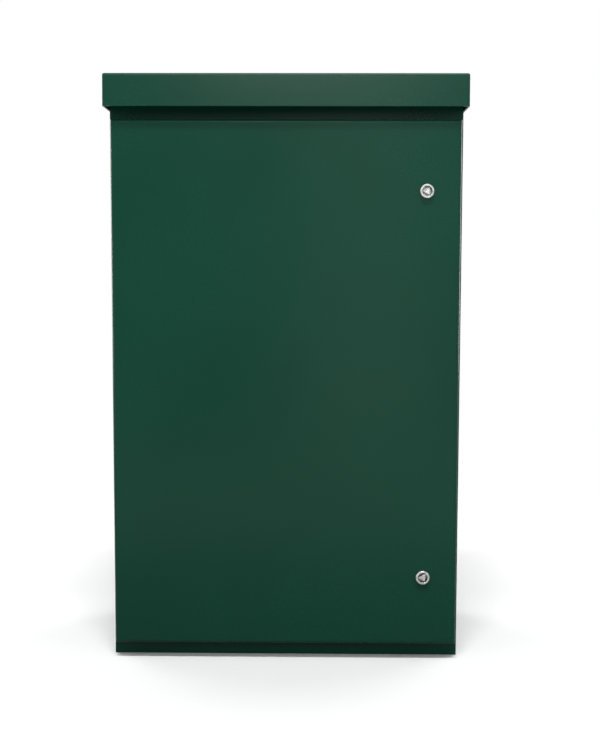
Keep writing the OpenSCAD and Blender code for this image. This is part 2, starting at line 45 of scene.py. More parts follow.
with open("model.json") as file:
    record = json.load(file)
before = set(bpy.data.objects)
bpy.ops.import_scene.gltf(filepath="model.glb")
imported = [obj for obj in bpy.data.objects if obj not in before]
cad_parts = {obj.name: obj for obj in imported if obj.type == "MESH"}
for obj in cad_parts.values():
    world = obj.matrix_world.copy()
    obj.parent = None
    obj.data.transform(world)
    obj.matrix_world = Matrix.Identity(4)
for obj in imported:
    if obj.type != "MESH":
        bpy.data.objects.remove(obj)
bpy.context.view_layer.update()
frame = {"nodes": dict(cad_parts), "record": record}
IMAGE_LONG_SIDE = 736
SLOT_OF = {part["node"]: part["material_slot"] for part in frame["record"]["subparts"]}
BODY_OF = {node: body for body, nodes in frame["record"]["behaviour"]["bodies"].items() for node in nodes}

MM = 0.001
# Thickness of the folded steel, and width of the foam strips on the door and the roof
SHEET = 2.5 * MM
SEAL_STRIP = 14.0 * MM
# Corners nearer than these are at one height or place, or are one corner made twice
SAME_SPOT = 1e-7
DOUBLED = 1e-6
SMOOTH_ANGLE = math.radians(32)
LEVELS = ("lower", "upper")
WHITE = (1.0, 1.0, 1.0, 1.0)
UP = Vector((0, 0, 1))
INWARDS = Vector((0, 1, 0))
OUTWARDS = Vector((0, -1, 0))


def slot_colour(slot):
    """The colour that the record gives a material slot."""
    return next(entry["base_color"] for entry in frame["record"]["materials"] if entry["slot"] == slot)


def colour_setting(name, description, default):
    return FloatVectorProperty(name=name, description=description, subtype="COLOR", size=3,
                               min=0.0, max=1.0, default=default)


def length_setting(name, description, default):
    return FloatProperty(name=name, description=description, unit="LENGTH", min=0.0,
                         precision=5, default=default)


def share_setting(name, description, default):
    return FloatProperty(name=name, description=description, subtype="FACTOR", min=0.0, max=1.0,
                         default=default)


def power_setting(name, description, default):
    return FloatProperty(name=name, description=description, unit="POWER", min=0.0, default=default)


class FinishSettings(bpy.types.PropertyGroup):
    """Colours and textures of the cabinet's finishes."""

    paint: colour_setting("Paint", "Colour of the powder coat", (0.003, 0.047, 0.0275))
    paint_light: colour_setting("Paint, light", "Lighter drift in the powder coat", (0.004, 0.052, 0.031))
    paint_roughness: share_setting("Paint roughness", "How satin the powder coat is", 0.24)
    paint_gloss: share_setting("Paint gloss", "Specular level of the powder coat", 0.09)
    peel_size: length_setting("Orange peel", "Size of the dimples in the powder coat", 0.0024)
    peel_height: length_setting("Orange peel depth", "Depth of the dimples in the powder coat", 0.00003)
    zinc: colour_setting("Zinc", "Colour of the zinc plate", slot_colour("zinc_plate"))
    zinc_warm: colour_setting("Zinc, warm", "Warmer drift in the zinc plate", (0.60, 0.58, 0.50))
    lock_metal: colour_setting("Lock metal", "Colour of the lock heads", (0.46, 0.47, 0.46))
    # Painted shade: a near-black colour laid deep in each lock head's recess, where shade falls
    lock_recess_shade: colour_setting("Lock recess shade", "Colour of the painted shade deep in the lock heads",
                              (0.035, 0.036, 0.034))
    galvanised: colour_setting("Galvanised", "Colour of the galvanised sheet",
                               slot_colour("galvanised_steel"))
    spangle_size: length_setting("Spangle", "Size of the crystals in the galvanising", 0.011)
    foam: colour_setting("Foam", "Colour of the foam rubber", slot_colour("foam_rubber"))
    veneer: colour_setting("Veneer", "Light wood of the plywood", slot_colour("plywood"))
    late_wood: colour_setting("Late wood", "Dark wood of the plywood", (0.36, 0.21, 0.09))
    ply_layers: IntProperty(name="Ply layers", description="Layers in the plywood", min=3, max=21,
                            default=8)
    brass: colour_setting("Brass", "Colour of the earth studs", slot_colour("brass"))


class SealSettings(bpy.types.PropertyGroup):
    """Sizes of the foam seals."""

    edge: length_setting("Edge", "Rounding of a seal's edges", 0.0012)
    groove: length_setting("Groove", "Depth of the line that the frame presses into the door seal", 0.0016)
    groove_margin: length_setting("Groove margin", "Seal left flat on each side of that line", 0.0035)


class FastenerSettings(bpy.types.PropertyGroup):
    """Sizes of threads and hexagons."""

    m6_pitch: length_setting("M6 pitch", "Thread pitch of the small fasteners", 0.001)
    m8_pitch: length_setting("M8 pitch", "Thread pitch of the large fasteners", 0.00125)
    barrel_pitch: length_setting("Barrel pitch", "Thread pitch of the lock barrels", 0.0015)
    thread_share: share_setting("Thread depth", "Depth of a thread as a share of its pitch", 0.55)
    turn_steps: IntProperty(name="Steps", description="Faces in one turn of a thread", min=8, max=48,
                            default=20)
    round_steps: IntProperty(name="Round steps", description="Faces round a turned piece", min=16, max=128,
                             default=64)


class WeldSettings(bpy.types.PropertyGroup):
    """Sizes of weld beads and spot welds."""

    bead_width: length_setting("Bead width", "Width of a weld bead", 0.0040)
    bead_height: length_setting("Bead height", "Height of a weld bead over the sheet", 0.0009)
    ripple: length_setting("Ripple", "Distance between the ripples of a bead", 0.0016)
    stitch: length_setting("Stitch", "Length of one stitch weld", 0.026)
    spot_radius: length_setting("Spot radius", "Radius of a spot weld's dimple", 0.0032)
    spot_pitch: length_setting("Spot pitch", "Distance between spot welds", 0.064)


class StageSettings(bpy.types.PropertyGroup):
    """Camera, floor and lamps."""

    eye: FloatVectorProperty(name="Camera", description="Place of the camera", subtype="TRANSLATION",
                             unit="LENGTH", size=3, default=(0.0478, -2.1317, 0.6777))
    look_down: FloatProperty(name="Look down", description="Pitch of the camera", subtype="ANGLE",
                             default=math.radians(4.920))
    look_left: FloatProperty(name="Look left", description="Turn of the camera", subtype="ANGLE",
                             default=math.radians(0.673))
    roll: FloatProperty(name="Roll", description="Roll of the camera", subtype="ANGLE",
                        default=math.radians(0.156))
    focal_pixels: FloatProperty(name="Focal length", description="Focal length in image pixels", min=100.0,
                                default=1160.0)
    floor: colour_setting("Floor", "Colour of the floor", (0.86, 0.86, 0.86))
    floor_bounce: colour_setting("Floor bounce", "Colour of the light that the floor throws back",
                                 (0.03, 0.03, 0.03))
    dome: share_setting("Dome", "Brightness of the soft light from above", 0.28)
    key_power: power_setting("Key", "Power of the main lamp, high in front", 510.0)
    back_power: power_setting("Back", "Power of each lamp that lights the back and a side", 96.0)
    fill_power: power_setting("Fill", "Power of each lamp that lights the front and a side", 16.0)
    sheen_power: power_setting("Sheen", "Power of the lamp that the door mirrors on its right", 4.4)
    ground_power: power_setting("Ground", "Power of the lamp that the door mirrors as bright ground", 9.1)
    sky_power: power_setting("Sky", "Power of the lamp that the roof's skirt mirrors", 1.55)
    low_power: power_setting("Low", "Power of each of the low lamps beside the door", 1.5)


# Shader sums

class Socket:
    """A shader socket that takes part in sums as a number does."""

    def __init__(self, tree, socket):
        self.tree = tree
        self.socket = socket

    def combined(self, operation, *values):
        node = self.tree.nodes.new("ShaderNodeMath")
        node.operation = operation
        for place, value in zip(node.inputs, values):
            plug(self.tree, value, place)
        return Socket(self.tree, node.outputs[0])

    def __add__(self, other):
        return self.combined("ADD", self, other)

    __radd__ = __add__

    def __mul__(self, other):
        return self.combined("MULTIPLY", self, other)

    __rmul__ = __mul__

    def __sub__(self, other):
        return self.combined("SUBTRACT", self, other)

    def __rsub__(self, other):
        return self.combined("SUBTRACT", other, self)

    def floor(self):
        return self.combined("FLOOR", self)

    def fraction(self):
        return self.combined("FRACT", self)

    def root(self):
        return self.combined("SQRT", self)

    def sine(self):
        return self.combined("SINE", self)

    def odd(self):
        return self.combined("FLOORED_MODULO", self, 2.0)

    def largest(self, other):
        return self.combined("MAXIMUM", self, other)

    def sibling(self, name):
        """Another output of the same node."""
        return Socket(self.tree, self.socket.node.outputs[name])


def plug(tree, value, place):
    """Links a socket, or sets a number, on an input."""
    if isinstance(value, Socket):
        tree.links.new(value.socket, place)
    else:
        place.default_value = value


class Finish:
    """One node material, or the world, under construction."""

    def __init__(self, owner):
        owner.use_nodes = True
        self.owner = owner
        self.tree = owner.node_tree
        self.tree.nodes.clear()

    def add(self, kind, settings=None, sockets=None, out=0):
        """Adds a node, sets it up, fills its inputs and gives back an output, or the owner without one."""
        node = self.tree.nodes.new(kind)
        for name, value in (settings or {}).items():
            setattr(node, name, value)
        for name, value in (sockets or {}).items():
            plug(self.tree, value, node.inputs[name])
        if not node.outputs:
            return self.owner
        return Socket(self.tree, node.outputs[out])

    def place(self):
        return self.add("ShaderNodeTexCoord", out="Object")

    def stretched(self, scale, offset=(0.0, 0.0, 0.0)):
        sockets = {"Vector": self.place(), "Scale": scale, "Location": offset}
        return self.add("ShaderNodeMapping", sockets=sockets)

    def axes(self, vector):
        first = self.add("ShaderNodeSeparateXYZ", sockets={0: vector})
        return [first.sibling(name) for name in "XYZ"]

    def noise(self, size, vector=None, detail=2.0, roughness=0.5):
        sockets = {"Vector": vector or self.place(), "Scale": 1.0 / size,
                   "Detail": detail, "Roughness": roughness}
        return self.add("ShaderNodeTexNoise", sockets=sockets)

    def stepped(self, value, low, high):
        """0 below low, 1 above high and smooth between."""
        sockets = {"Value": value, "From Min": low, "From Max": high}
        return self.add("ShaderNodeMapRange", {"interpolation_type": "SMOOTHSTEP"}, sockets)

    def blend(self, share, first, second):
        """A colour between two others."""
        factor, colour_a, colour_b, result = 0, 6, 7, 2
        sockets = {factor: share, colour_a: solid(first), colour_b: solid(second)}
        return self.add("ShaderNodeMix", {"data_type": "RGBA"}, sockets, out=result)

    def relief(self, height, depth, normal=None):
        sockets = {"Height": height, "Distance": depth, "Strength": 1.0}
        if normal:
            sockets["Normal"] = normal
        return self.add("ShaderNodeBump", sockets=sockets)

    def soft_edge(self, radius):
        return self.add("ShaderNodeBevel", {"samples": 4}, {"Radius": radius})

    def seen(self):
        """1 for what the camera sees, directly or by way of metal or glass."""
        camera = self.add("ShaderNodeLightPath", out="Is Camera Ray")
        mirrored = camera.sibling("Is Glossy Ray")
        through = camera.sibling("Is Transmission Ray")
        return camera.largest(mirrored).largest(through)

    def surface(self, **sockets):
        """The surface of the material, with its inputs named in lower case."""
        named = {}
        for name, value in sockets.items():
            named[name.replace("_", " ").title().replace("Ior", "IOR")] = value
        shader = self.add("ShaderNodeBsdfPrincipled", sockets=named)
        return self.add("ShaderNodeOutputMaterial", sockets={"Surface": shader})


def solid(colour):
    """A plain colour as four numbers, and a socket as it is."""
    if isinstance(colour, Socket):
        return colour
    return (*colour, 1.0)


# Finishes

def powder_coat(look):
    """Satin powder coat: a slow drift of colour, orange peel and softened edges."""
    finish = Finish(bpy.data.materials.new("green_powder_coat"))
    drift_size = 0.34
    edge = 0.6 * MM
    drift_dulls = 0.05
    peel_dulls = 0.08
    drift = finish.noise(drift_size, detail=2.5, roughness=0.45)
    cloud = finish.stepped(drift, 0.34, 0.66)
    peel = finish.noise(look.peel_size, detail=1.0)
    grit = finish.noise(look.peel_size / 4, detail=0.0)
    height = peel * 0.8 + grit * 0.2
    normal = finish.relief(height, look.peel_height, finish.soft_edge(edge))
    return finish.surface(
        base_color=finish.blend(cloud, look.paint, look.paint_light),
        roughness=look.paint_roughness - drift_dulls + cloud * drift_dulls + peel * peel_dulls,
        specular_ior_level=look.paint_gloss,
        normal=normal)


def zinc_plate(look):
    """Zinc plate with a faint warm and cool drift, handling marks and softened edges."""
    finish = Finish(bpy.data.materials.new("zinc_plate"))
    drift_size = 9.0 * MM
    mark_size = 1.1 * MM
    mark_depth = 0.012 * MM
    edge = 0.4 * MM
    drift = finish.stepped(finish.noise(drift_size, detail=3.0), 0.35, 0.65)
    marks = finish.noise(mark_size, finish.stretched((1.0, 0.25, 0.6)), detail=2.0)
    normal = finish.relief(marks, mark_depth, finish.soft_edge(edge))
    return finish.surface(
        base_color=finish.blend(drift, look.zinc, look.zinc_warm),
        metallic=1.0,
        roughness=0.24 + marks * 0.16 + drift * 0.06,
        normal=normal)


def lock_plate(look, name, face):
    """Bright plate with the rings that turning leaves, and painted shade, a near-black colour, deep in the
    recess.
    """
    finish = Finish(bpy.data.materials.new(name))
    x, depth, z = finish.axes(finish.stretched((1.0, 1.0, 1.0), [-value for value in face]))
    radius = (x * x + z * z).root()
    ring_pitch = 0.9 * MM
    ring_depth = 0.008 * MM
    haze_size = 3.5 * MM
    edge = 0.5 * MM
    shade_top, shade_full = 1.8 * MM, 4.5 * MM
    shade_outer, shade_inner = 8.6 * MM, 8.2 * MM
    recess_bottom_from, recess_bottom_to = 8.5 * MM, 9.7 * MM
    rings = (radius * (math.tau / ring_pitch)).sine()
    haze = finish.stepped(finish.noise(haze_size, detail=3.0), 0.38, 0.62)
    # Painted shade: near-black on the recess walls from 1.8 mm deep, where shade falls, and less of it at
    # the bottom of the recess
    inside = finish.stepped(depth, shade_top, shade_full) * finish.stepped(radius, shade_outer, shade_inner)
    recess_shade = inside * (1.0 - finish.stepped(depth, recess_bottom_from, recess_bottom_to) * 0.6)
    normal = finish.relief(rings * 0.5 + haze * 0.5, ring_depth, finish.soft_edge(edge))
    shade = [channel * 0.62 for channel in look.lock_metal]
    return finish.surface(
        base_color=finish.blend(recess_shade, finish.blend(haze, look.lock_metal, shade), look.lock_recess_shade),
        metallic=1.0,
        roughness=0.30 + haze * 0.14,
        normal=normal)


def galvanised_sheet(look):
    """Hot dip galvanising: crystals of different greys with soft borders."""
    finish = Finish(bpy.data.materials.new("galvanised_steel"))
    bend_size = 6.0 * MM
    bend_wide, bend_deep = 3.0 * MM, 2.0 * MM
    frost_size = 1.6 * MM
    relief_depth = 0.02 * MM
    edge = 0.5 * MM
    bend = finish.noise(bend_size, detail=1.0)
    moves = {"X": bend * bend_wide, "Y": bend * bend_deep, "Z": bend * bend_wide}
    shift = finish.add("ShaderNodeCombineXYZ", sockets=moves)
    vector = finish.add("ShaderNodeVectorMath", {"operation": "ADD"}, {0: finish.place(), 1: shift})
    sockets = {"Vector": vector, "Scale": 1.0 / look.spangle_size}
    crystal = finish.add("ShaderNodeTexVoronoi", sockets=sockets, out="Color")
    grey, gloss, _ = finish.axes(crystal)
    frost = finish.noise(frost_size, detail=2.0)
    light = [min(1.0, channel * 1.30) for channel in look.galvanised]
    dark = [channel * 0.74 for channel in look.galvanised]
    normal = finish.relief(grey * 0.4 + frost * 0.6, relief_depth, finish.soft_edge(edge))
    return finish.surface(
        base_color=finish.blend(grey, dark, light),
        metallic=0.9,
        roughness=0.30 + gloss * 0.18 + frost * 0.10,
        normal=normal)


def foam_rubber(look):
    """Closed cell foam: fine open pores in a dull black."""
    finish = Finish(bpy.data.materials.new("foam_rubber"))
    cell_size = 0.8 * MM
    cell_depth = 0.18 * MM
    dust_size = 20.0 * MM
    cell_sockets = {"Vector": finish.place(), "Scale": 1.0 / cell_size}
    cells = finish.add("ShaderNodeTexVoronoi", sockets=cell_sockets)
    dust = finish.stepped(finish.noise(dust_size, detail=3.0), 0.4, 0.75)
    pale = [channel * 2.1 for channel in look.foam]
    return finish.surface(
        base_color=finish.blend(dust * 0.6 + cells * 0.3, look.foam, pale),
        roughness=0.80 + dust * 0.12,
        specular_ior_level=0.3,
        normal=finish.relief(cells, cell_depth))


def plywood(look):
    """Sanded plywood: veneer grain on its faces and crossed layers on its edges."""
    finish = Finish(bpy.data.materials.new("plywood"))
    low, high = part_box("mounting_board")
    glue_line = 0.06
    warp_size = 110.0 * MM
    pore_size = 2.2 * MM
    end_size = 1.1 * MM
    grain_depth = 0.06 * MM
    edge = 0.8 * MM
    rings_each_metre = 62.0
    warp_rings = 9.0
    _, y, _ = finish.axes(finish.place())
    layer = (y - low.y) * (look.ply_layers / (high.y - low.y)) + 0.5
    crossed = layer.floor().odd()
    depth = layer.fraction()
    glue = finish.stepped(depth, glue_line, 0.0).largest(finish.stepped(depth, 1.0 - glue_line, 1.0))
    warp = finish.noise(warp_size, finish.stretched((1.0, 1.0, 0.12)), detail=2.0)
    across = finish.axes(finish.stretched((1.0, 1.0, 0.0)))[0]
    figure = across * rings_each_metre + warp * warp_rings
    grain = (figure * math.tau).sine() * 0.5 + 0.5
    pores = finish.noise(pore_size, finish.stretched((1.0, 1.0, 0.05)), detail=2.0)
    ends = finish.noise(end_size, detail=1.0)
    wood = finish.blend(grain * 0.42 + pores * 0.38, look.veneer, look.late_wood)
    dark = [channel * 0.62 for channel in look.late_wood]
    end_wood = finish.blend(ends, look.late_wood, [channel * 0.70 for channel in look.veneer])
    layers = finish.blend(crossed, wood, end_wood)
    return finish.surface(
        base_color=finish.blend(glue * 0.8, layers, dark),
        roughness=0.58 + pores * 0.2,
        specular_ior_level=0.35,
        normal=finish.relief(pores * 0.7 + grain * 0.3, grain_depth, finish.soft_edge(edge)))


def turned_brass(look):
    """Brass with a dull bloom."""
    finish = Finish(bpy.data.materials.new("brass"))
    bloom_size = 6.0 * MM
    line_size = 0.6 * MM
    line_depth = 0.01 * MM
    edge = 0.4 * MM
    bloom = finish.stepped(finish.noise(bloom_size, detail=3.0), 0.38, 0.72)
    lines = finish.noise(line_size, finish.stretched((0.2, 0.2, 1.0)), detail=1.0)
    dull = [channel * 0.66 for channel in look.brass]
    return finish.surface(
        base_color=finish.blend(bloom, look.brass, dull),
        metallic=1.0,
        roughness=0.24 + bloom * 0.16 + lines * 0.08,
        normal=finish.relief(lines, line_depth, finish.soft_edge(edge)))


FINISHES = {
    "green_powder_coat": powder_coat,
    "zinc_plate": zinc_plate,
    "galvanised_steel": galvanised_sheet,
    "foam_rubber": foam_rubber,
    "plywood": plywood,
    "brass": turned_brass,
}


def finish_for(slot):
    """The material of a record slot, made when it is first asked for."""
    if slot in bpy.data.materials and bpy.data.materials[slot].get("finished"):
        return bpy.data.materials[slot]
    made = FINISHES[slot](bpy.context.scene.cabinet_finish)
    made["finished"] = True
    return made


class CABINET_OT_finishes(bpy.types.Operator):
    """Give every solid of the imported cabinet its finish"""

    bl_idname = "cabinet.finishes"
    bl_label = "Finishes"

    def execute(self, context):
        for node, piece in frame["nodes"].items():
            piece.data.materials.clear()
            piece.data.materials.append(finish_for(SLOT_OF[node]))
        return {"FINISHED"}


# Modelling

def put_down():
    """Object mode, with nothing selected."""
    if bpy.context.mode != "OBJECT":
        bpy.ops.object.mode_set(mode="OBJECT")
    bpy.ops.object.select_all(action="DESELECT")


def take_up(*pieces):
    """Selects these pieces alone and makes the first one active."""
    put_down()
    for piece in pieces:
        piece.select_set(True)
    bpy.context.view_layer.objects.active = pieces[0]


@contextmanager
def editing(piece):
    """Edit mode on one piece."""
    take_up(piece)
    bpy.ops.object.mode_set(mode="EDIT")
    bpy.ops.mesh.select_mode(type="VERT")
    yield
    bpy.ops.object.mode_set(mode="OBJECT")


def pick(piece, kind, wanted):
    """Selects, in edit mode, the corners, edges or faces of a piece that pass a test."""
    bpy.ops.mesh.select_mode(type=kind)
    bpy.ops.mesh.select_all(action="DESELECT")
    shape = bmesh.from_edit_mesh(piece.data)
    items = {"VERT": shape.verts, "EDGE": shape.edges, "FACE": shape.faces}[kind]
    found = [item for item in items if wanted(item)]
    for item in found:
        item.select_set(True)
    shape.select_flush_mode()
    bmesh.update_edit_mesh(piece.data)
    if not found:
        raise RuntimeError(f"nothing to select on {piece.name}")


def pick_all():
    bpy.ops.mesh.select_all(action="SELECT")


def settle(piece):
    """Moves a piece's place, turn and scale into its mesh."""
    take_up(piece)
    bpy.ops.object.transform_apply(location=True, rotation=True, scale=True)
    return piece


def place_along(piece, spot, axis):
    """Puts a piece that was made along Z on a spot, with its Z along an axis and its X along X."""
    level = Vector((1, 0, 0))
    direction = Matrix((level, Vector(axis).cross(level), Vector(axis))).transposed()
    piece.matrix_world = Matrix.Translation(spot) @ direction.to_4x4()
    return settle(piece)


def copied(piece):
    """A copy with its own mesh."""
    take_up(piece)
    bpy.ops.object.duplicate(linked=False)
    return bpy.context.object


def joined(pieces):
    take_up(*pieces)
    if len(pieces) > 1:
        bpy.ops.object.join()
    return bpy.context.object


def applied(piece, kind, **settings):
    """Adds a modifier, sets it up and applies it."""
    take_up(piece)
    modifier = piece.modifiers.new(kind.lower(), kind)
    for name, value in settings.items():
        setattr(modifier, name, value)
    bpy.ops.object.modifier_apply(modifier=modifier.name)
    return piece


def tidied(piece):
    """Merges doubled corners, drops edges without faces and points every face outwards."""
    with editing(piece):
        pick_all()
        bpy.ops.mesh.remove_doubles(threshold=DOUBLED)
        bpy.ops.mesh.delete_loose(use_verts=True, use_edges=True, use_faces=False)
        pick_all()
        bpy.ops.mesh.normals_make_consistent(inside=False)
    return piece


def drawn(points, closed):
    """A line of corners, extruded one from the next."""
    put_down()
    bpy.ops.mesh.primitive_plane_add(size=MM)
    piece = bpy.context.object
    ends = [Vector(points[0]), Vector(points[-1])]
    with editing(piece):
        pick_all()
        bpy.ops.mesh.merge(type="CENTER")
        bpy.ops.transform.translate(value=ends[0])
        for before, after in zip(points, points[1:]):
            move = Vector(after) - Vector(before)
            bpy.ops.mesh.extrude_region_move(TRANSFORM_OT_translate={"value": move})
        if closed:
            pick(piece, "VERT", lambda corner: min((corner.co - end).length for end in ends) < SAME_SPOT)
            bpy.ops.mesh.edge_face_add()
    return piece


def turned(outline, steps):
    """A closed outline of (radius, height) points, turned round Z."""
    piece = drawn([(radius, 0.0, height) for radius, height in outline], closed=True)
    with editing(piece):
        pick_all()
        bpy.ops.mesh.spin(steps=steps, angle=math.tau, center=(0, 0, 0), axis=(0, 0, 1))
    return tidied(piece)


def thread_ridge(radius, pitch, depth, start, end, steps):
    """The helical ridge of a thread between two heights."""
    root = radius - depth
    sunk = 0.1
    foot = root - sunk * depth
    rise, crest, crest_end, fall = 0.04, 0.40, 0.56, 0.92
    outline = [(foot, rise), (radius, crest), (radius, crest_end), (foot, fall)]
    piece = drawn([(across, 0.0, start + share * pitch) for across, share in outline], closed=True)
    turns = max(1, int((end - start) / pitch) - 1)
    applied(piece, "SCREW", axis="Z", angle=math.tau, screw_offset=pitch, iterations=turns, steps=steps,
            render_steps=steps, use_merge_vertices=False)
    with editing(piece):
        pick_all()
        bpy.ops.mesh.remove_doubles(threshold=SAME_SPOT)
        bpy.ops.mesh.select_mode(type="EDGE")
        bpy.ops.mesh.select_all(action="DESELECT")
        bpy.ops.mesh.select_non_manifold(extend=False, use_wire=False, use_boundary=True,
                                         use_multi_face=False, use_non_contiguous=False, use_verts=False)
        bpy.ops.mesh.edge_face_add()
    return tidied(piece)


def threaded_rod(radius, pitch, start, end):
    """A round rod with a thread and bevelled ends."""
    sizes = bpy.context.scene.cabinet_fastener
    depth = pitch * sizes.thread_share
    root = radius - depth
    bevel = depth
    core = turned([(0.0, start), (root - bevel, start), (root, start + bevel), (root, end - bevel),
                   (root - bevel, end), (0.0, end)], sizes.round_steps // 2)
    ridge = thread_ridge(radius, pitch, depth, start + bevel, end - bevel, sizes.turn_steps)
    return joined([core, ridge])


def hexagon(corner, height, bore):
    """A chamfered hexagon on z = 0: a turned blank cut to six sides."""
    sizes = bpy.context.scene.cabinet_fastener
    flat = corner * math.cos(math.pi / 6)
    face_share, blank_share, lead_share = 0.95, 1.02, 0.12
    face = flat * face_share
    outer = corner * blank_share
    drop = (outer - face) * math.tan(math.pi / 6)
    lead = lead_share * bore
    blank = [(face, 0.0), (outer, drop), (outer, height - drop), (face, height)]
    if bore:
        blank = [(bore, lead), (bore + lead, 0.0)] + blank + [(bore + lead, height), (bore, height - lead)]
    else:
        blank = [(0.0, 0.0)] + blank + [(0.0, height)]
    piece = turned(blank, sizes.round_steps)
    put_down()
    bpy.ops.mesh.primitive_cylinder_add(vertices=6, radius=corner, depth=height * 1.5,
                                        location=(0, 0, height / 2), rotation=(0, 0, math.pi / 6))
    sides = settle(bpy.context.object)
    applied(piece, "BOOLEAN", operation="INTERSECT", object=sides, solver="EXACT")
    bpy.data.objects.remove(sides)
    return tidied(piece)


def hex_bolt(corner, head, radius, pitch, length):
    """A bolt with its head below z = 0 and its thread above."""
    cap = hexagon(corner, head, 0.0)
    cap.location.z = -head
    settle(cap)
    rod = threaded_rod(radius, pitch, -head / 2, length)
    return joined([cap, rod])


def loose_boxes(node):
    """The low and the high corner of each separate solid of a CAD node."""
    mesh = frame["nodes"][node].data
    group = {}

    def leader(key):
        while group[key] != key:
            key = group[key]
        return key

    keys = [tuple(round(value, 6) for value in vertex.co) for vertex in mesh.vertices]
    for key in keys:
        group.setdefault(key, key)
    for face in mesh.polygons:
        first = leader(keys[face.vertices[0]])
        for corner in face.vertices[1:]:
            group[leader(keys[corner])] = first
    solids = {}
    for key in group:
        solids.setdefault(leader(key), []).append(key)
    boxes = []
    for corners in solids.values():
        low = Vector([min(corner[axis] for corner in corners) for axis in range(3)])
        high = Vector([max(corner[axis] for corner in corners) for axis in range(3)])
        boxes.append((low, high))
    return sorted(boxes, key=lambda box: tuple(box[0]))


def carried(piece, name, body, slot, replaced=(), material=None):
    """Names a finished piece, gives it its finish and hangs it on its body."""
    take_up(piece)
    bpy.ops.object.shade_smooth_by_angle(angle=SMOOTH_ANGLE)
    piece.name = name
    piece.data.name = name
    piece.data.materials.clear()
    piece.data.materials.append(material or finish_for(slot))
    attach(piece, body)
    if replaced:
        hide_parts(*replaced)
    put_down()
    return piece


def set_of(node, name, model, axis):
    """Copies a model, made from z = 0 up, to each solid of a node, and lets the set stand for the node."""
    box = [Vector(corner) for corner in model.bound_box]
    middle = (min(corner.z for corner in box) + max(corner.z for corner in box)) / 2
    copies = []
    for low, high in loose_boxes(node):
        copy = copied(model)
        place_along(copy, (low + high) / 2 - Vector(axis) * middle, axis)
        copies.append(copy)
    bpy.data.objects.remove(model)
    return carried(joined(copies), name, BODY_OF[node], SLOT_OF[node], [node])


def span(node, axis):
    """How long one solid of a node is along an axis, allowing for the tilt of a tilted one."""
    low, high = loose_boxes(node)[0]
    size = high - low
    main = max(range(3), key=lambda index: abs(axis[index]))
    side = min(size[index] for index in range(3) if index != main)
    tilt = math.sqrt(max(0.0, 1.0 - axis[main] ** 2))
    return (size[main] - tilt * side) / abs(axis[main])


def roof_axis():
    """The direction square to the roof, from the tilt of its flat frame."""
    low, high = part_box("roof_frame")
    frame_sheet = 3.0 * MM
    fall = math.atan2(high.z - low.z - frame_sheet, high.y - low.y)
    return Vector((0.0, math.sin(fall), math.cos(fall)))


# Seals

def ring_strip(width, length, strip, height, corner, edge):
    """A flat rectangular ring on z = 0 with rounded corners and softened edges."""
    put_down()
    bpy.ops.mesh.primitive_plane_add(size=1.0)
    piece = bpy.context.object
    piece.scale = (width, length, 1.0)
    settle(piece)
    with editing(piece):
        pick_all()
        if corner > strip:
            bpy.ops.mesh.bevel(offset=corner, segments=8, affect="VERTICES")
        pick_all()
        bpy.ops.mesh.inset(thickness=strip, use_even_offset=True)
        bpy.ops.mesh.delete(type="FACE")
        pick_all()
        bpy.ops.mesh.extrude_region_move(TRANSFORM_OT_translate={"value": (0, 0, height)})
        pick_all()
        bpy.ops.mesh.normals_make_consistent(inside=False)
        if corner < strip:
            middle = width / 2 - strip / 2
            pick(piece, "EDGE", lambda item: is_upright(item) and abs(item.verts[0].co.x) > middle)
            bpy.ops.mesh.bevel(offset=corner, segments=4, affect="EDGES")
        pick(piece, "EDGE", is_rim)
        bpy.ops.mesh.bevel(offset=edge, segments=3, affect="EDGES")
    return tidied(piece)


def is_upright(edge):
    first, second = (corner.co for corner in edge.verts)
    steep = 0.9
    return abs(first.z - second.z) > steep * (first - second).length


def is_rim(edge):
    """A level edge between a level face and an upright one."""
    first, second = (corner.co for corner in edge.verts)
    least_angle = 1.0
    sharp = len(edge.link_faces) == 2 and edge.calc_face_angle(0.0) > least_angle
    return sharp and abs(first.z - second.z) < SAME_SPOT


